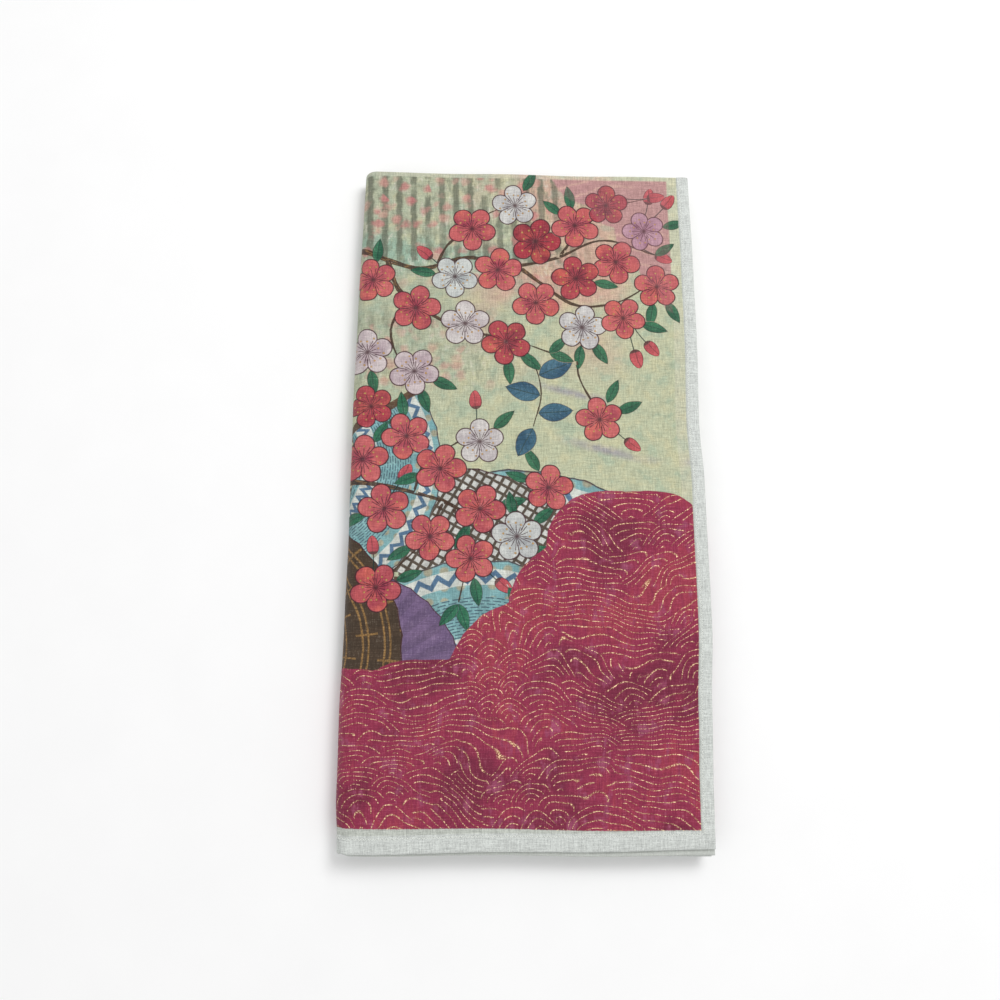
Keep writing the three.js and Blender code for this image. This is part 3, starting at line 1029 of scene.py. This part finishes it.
def seenThrough(ground, across, up, flat):
    # What the ply beneath shows through this one, blurred and pale: blots of
    # pink, broken bars, and a rose cloud. It ends where that ply's print does.
    blots = flat.node("TexVoronoi", {"Vector": flat, "Scale": 0.19, "Randomness": 0.9})
    chance, deep, _ = parts(blots.output("Color"))
    blur = noise(flat, 0.35, 2) - 0.5
    shreds = noise(vector(across * 0.40, up * 0.20 + 30), 1, 3, 0.6)
    chance = chance + across.step(60, 20) * 0.22
    blot = (blots.output("Distance") + blur * 0.6).step(0.55, 0.20) * chance.step(0.36, 0.42)
    lean, pitch = across + up * 0.05, 5.4
    bar = (lean + blur * 1.6).evenly(pitch).line(1.15, 0.5)
    bar = bar * noise(vector((lean / pitch + 0.5).whole() * 7.3, up * 0.06), 1, 1).step(0.34, 0.42)
    bar = bar * up.step(211, 213).most((up - 192).line(7, 0.8) * 0.8)
    patches = noise(vector(across, up + 90), 0.03, 1)
    upper = up.step(196, 212) * across.step(96, 70)
    lower = up.step(158, 166) * up.step(196, 186) * across.step(70, 44)
    toAcross, toUp = design["beneathTo"]
    printed = (toUp - up).step(-0.3, 0.4) * (toAcross - across).step(-0.3, 0.4)
    share = (upper + lower * 0.7) * printed
    ground = inked(ground, "bare", (1 - printed) * 0.25)
    ground = inked(ground, "shade", shreds.step(0.50, 0.64) * share * 0.55)
    ground = inked(ground, "bare", shreds.step(0.46, 0.34) * share * 0.45)
    ground = inked(ground, "bar", bar * share * patches.step(0.30, 0.46) * 0.80)
    ground = blend(ground, inked(inks["blot"], "blush", deep), blot * share * 0.72)
    beneath = (ground.attribute("beneath") + blur * 1.5).step(-0.5, 0.5) * printed
    rings = (up * 0.8 + (across / 9).sin() * 3 + blur * 2).evenly(4.2).line(0.4, 0.4)
    rose = inked(inks["rose"], "roseLine", rings * patches.step(0.4, 0.6) * 0.6)
    return blend(ground, rose, beneath * 0.92), beneath


def washedGround(across, up, flat, wash):
    # soft zones of colour: cream, haze towards the fold, blush above, a teal
    # band and two violet streaks
    slow = noise(flat, 0.022, 2)
    patches = noise(vector(across + 300, up), 0.03, 2)
    haze = across.step(80, 25) * up.step(140, 180)
    ground = inked(inks["cream"], "greenHaze", haze * 0.85)
    blush = patches.step(0.38, 0.54) * up.step(160, 190)
    blush = blush * across.step(112, 90) * across.step(34, 60)
    ground = inked(ground, "blush", blush * 0.85)
    teal = (up - 216 - (slow - 0.5) * 40).line(5, 4) * across.step(78, 52)
    ground = inked(ground, "tealHaze", teal * 0.8)
    first = (up - 163 - (across / 22).sin() * 6).line(1.2, 1.3) * across.step(62, 78)
    second = (up - 139 + (across / 19).cos() * 5).line(1.5, 1.4) * across.step(70, 92)
    ground = inked(ground, "mist", first.most(second) * slow.step(0.36, 0.48) * 0.75)
    ground = inked(ground, "straw", wash.step(0.50, 0.66) * 0.40)
    ground = inked(ground, "tealHaze", wash.step(0.48, 0.34) * 0.32)
    return tinted(ground, 0.90 + wash * 0.20)


def threadsOf(s, up):
    # slubs along both ways, specks, and the crossings of the threads
    warp = noise(vector(s * 2.4, up * 0.22), 1, 2, 0.65)
    weft = noise(vector(s * 0.22, up * 2.4 + 50), 1, 2, 0.65)
    slubs = warp + weft - 1
    specks = noise(vector(s, up), 2, 2, 0.6)
    turn = 2 * np.pi / design["threadPitch"]
    return slubs, specks, (s * turn).sin() * (up * turn).sin()


def printedShare(s, up, across, specks):
    # 1 on the print, 0 on the unprinted border, with an edge that the threads break
    border = design["nearBorder"] - across * design["borderSlant"]
    toEnd = up.least(sheetLength - up) - border + (specks - 0.5) * 0.7
    toSide = s.least(sheetWidth - s) - design["sideBorder"] + (specks - 0.5) * 0.6
    return toEnd.least(toSide).step(-0.14, 0.18)


def paintCloth():
    # Ground, what shows through, fans, twigs, sprigs, blossoms, cloud with gold
    # lines, border and hem, then threads over all of it.
    material, surface = startMaterial("printed_lawn")
    s, t, _ = parts(surface.node("UVMap", uv_map="sheet"))
    s, up = s * uvScale, t * uvScale
    across = foldedAcross(s)
    flat = vector(across, up)
    wash = noise(flat, 0.16, 3, 0.55)
    slubs, specks, weave = threadsOf(s, up)
    threads = (specks + slubs * 0.7 + weave * 0.16).step(0.40, 0.56)

    picture = washedGround(across, up, flat, wash)
    picture, beneath = seenThrough(picture, across, up, flat)
    picture = fan(picture, wash, threads)
    picture = twig(picture, wash)
    picture = sprig(picture, wash)
    picture = bloom(picture, wash)
    picture = inked(picture, "rose", beneath * 0.16)
    cloudShare = (surface.attribute("cloud") + (wash - 0.5) * 1.2).step(-0.15, 0.15)
    picture = blend(picture, magentaField(s, up, wash), cloudShare)
    goldShare = goldWaves(s, up) * threads * cloudShare

    # threads catch less ink where they cross
    bare = (specks * 0.6 + weave * 0.18 + slubs * 0.8).step(0.42, 0.95)
    picture = inked(picture, "bare", bare * 0.34)
    # painted glints: the gold turns pale in flecks where specks and slubs run high, as if its threads caught
    # the light, and stays dark olive between them
    gold = inked(inks["gold"], "goldGlint", (specks + slubs * 0.4).step(0.46, 0.62))
    picture = blend(picture, gold, goldShare * 0.95)

    printed = printedShare(s, up, across, specks)
    plain = inked(inks["border"], "hem", surface.attribute("hem"))
    plain = tinted(plain, 0.98 + 0.16 * (specks - 0.5) + 0.10 * (wash - 0.5))
    picture = blend(plain, picture, printed)
    goldShare = goldShare * printed
    picture = tinted(picture, 1 + slubs * 0.85 + (specks - 0.5) * 0.62 + weave * 0.05)
    picture = inked(picture, "border", surface.attribute("reverse") * 0.5)

    height = weave * 0.5 + slubs * 2 + specks
    return shaded(material, surface, {
        "Base Color": picture,
        "Roughness": 0.88 - goldShare * 0.48,
        "Metallic": goldShare * 0.45,
        "Normal": surface.node("Bump", {"Strength": 0.6, "Distance": 0.00007, "Height": height}),
        "Specular IOR Level": 0.35,
        "Sheen Weight": 0.12,
        "Sheen Roughness": 0.5,
    })


handkerchief.data.materials.append(paintCloth())
print("cloth painted")


# Sewing thread: zigzag stitches along the seams of the four hems

stitching = {
    "pitch": 0.8,  # from one stitch to the next
    "reach": 0.42,  # how far the zigzag goes to each side
    "half": 0.13,  # half the thread's width
    "height": 0.10,
    "sink": 0.03,  # below the hem's surface
    "rings": 4,  # along a stitch
    "around": 4,  # points in a ring
}


def stitchRows():
    # The start and end of each stitch on the sheet: along the seams, from one
    # side of the zigzag to the other in turn.
    rows = []
    for length, margin, width, seam, order in (
            (sheetWidth, cloth["sideSeam"], sheetLength, cloth["nearSeam"], [0, 1, 2, 3]),
            (sheetLength, cloth["nearSeam"], sheetWidth, cloth["sideSeam"], [1, 0, 3, 2])):
        along = np.arange(margin, length - margin, stitching["pitch"])
        offsets = stitching["reach"] * (1 - 2 * (np.arange(len(along)) % 2))
        for middle in (seam, width - seam):
            aside = middle + offsets
            rows.append(np.stack([along[:-1], aside[:-1], along[1:], aside[1:]], axis=1)[:, order])
    return np.concatenate(rows)


def sewHems():
    # Each stitch is a few rings along its length: the thread's width and height
    # follow a flattened circle, and both shrink to the ends.
    rows = stitchRows()
    count, rings, around = len(rows), stitching["rings"], stitching["around"]
    u = np.linspace(0, 1, rings)[None, :, None]
    angle = (np.arange(around) * 2 * np.pi / around)[None, None, :]
    girth = np.sqrt(np.clip(1 - (2 * u - 1) ** 4, 0.15, 1))
    s0, t0, s1, t1 = (column[:, None, None] for column in rows.T)
    length = np.hypot(s1 - s0, t1 - t0)
    ds, dt = (s1 - s0) / length, (t1 - t0) / length
    ring = np.arange(rings * around).reshape(rings, around)
    skin = quads(ring[:-1], ring[1:], np.roll(ring[1:], -1, axis=1), np.roll(ring[:-1], -1, axis=1))
    skin = np.concatenate([skin, [ring[0, ::-1], ring[-1]]])
    points = []
    for side in (1, -1):
        sideways = stitching["half"] * girth * np.cos(angle) * side
        upward = stitching["height"] * (girth * np.sin(angle) + 1) - stitching["sink"]
        s = s0 + (s1 - s0) * u - dt * sideways
        t = t0 + (t1 - t0) * u + ds * sideways
        points.append(onCloth(s, t, side * (halfThickness(s, t) + upward)).reshape(-1, 3))
    firsts = np.arange(2 * count) * rings * around
    corners = (skin + firsts[:, None, None]).reshape(-1, 4)
    print(f"{2 * count} stitches, {2 * len(corners)} triangles")
    return makeMesh("hem_stitches", (np.concatenate(points) + shift) * mm, corners)


stitches = sewHems()


def threadMaterial():
    # off-white cotton with a twist along each stitch
    material, surface = startMaterial("sewing_thread")
    grain = noise(surface.node("TexCoord").output("Object"), 2600.0, 1.0)
    bump = surface.node("Bump", {"Strength": 0.4, "Distance": 0.00005, "Height": grain})
    paint = blend(seen(222, 226, 218), seen(246, 248, 243), grain)
    return shaded(material, surface, {"Base Color": paint, "Roughness": 0.7, "Normal": bump})


stitches.data.materials.append(threadMaterial())
print("hems sewn")

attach(handkerchief, "root")
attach(stitches, "root")
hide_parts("handkerchief")


# The floor, the lights and the camera

studio = {
    "floorHalf": 2.0,  # metres, with the far edges out of view
    "world": 0.64,
    "cameraPlace": (-0.0193, -0.0892, 0.3548),
    "cameraTurn": (13.73, -1.66, 0.38),  # degrees
    "lens": 36.0,
    "lamps": [  # place, size and power
        ((0.42, 0.45, 0.90), 0.50, 6.0),
        ((-0.6, -0.5, 0.9), 0.8, 1.2),
    ],
}


def makeFloor():
    # a square of plain floor
    signs = np.array([(-1, -1, 0), (1, -1, 0), (1, 1, 0), (-1, 1, 0)], float)
    floor = makeMesh("floor", signs * studio["floorHalf"], np.array([[0, 1, 2, 3]]))
    material, surface = startMaterial("pale_floor")
    grain = noise(surface.node("TexCoord").output("Object"), 40.0)
    paint = blend(seen(246, 246, 246), seen(250, 250, 250), grain)
    floor.data.materials.append(shaded(material, surface, {"Base Color": paint, "Roughness": 0.8}))


def lightStudio():
    # even white light from all round, and soft lamps turned to the cloth
    world = bpy.data.worlds.new("studio")
    world.use_nodes = True
    background = world.node_tree.nodes["Background"]
    background.inputs["Color"].default_value = (1, 1, 1, 1)
    background.inputs["Strength"].default_value = studio["world"]
    bpy.context.scene.world = world
    for n, (place, size, power) in enumerate(studio["lamps"]):
        lamp = bpy.data.lights.new(f"softbox{n}", "AREA")
        lamp.size = size
        lamp.energy = power
        holder = bpy.data.objects.new(f"softbox{n}", lamp)
        holder.location = place
        holder.rotation_euler = (-holder.location).to_track_quat("-Z", "Y").to_euler()
        bpy.context.collection.objects.link(holder)


def setCamera():
    camera = bpy.data.objects.new("camera", bpy.data.cameras.new("camera"))
    camera.data.lens = studio["lens"]
    camera.data.sensor_width = 36.0
    camera.data.clip_start = 0.01
    camera.location = studio["cameraPlace"]
    camera.rotation_euler = np.radians(studio["cameraTurn"])
    bpy.context.collection.objects.link(camera)
    bpy.context.scene.camera = camera


makeFloor()
lightStudio()
setCamera()
bpy.context.scene.view_settings.view_transform = "Standard"
print("studio set")
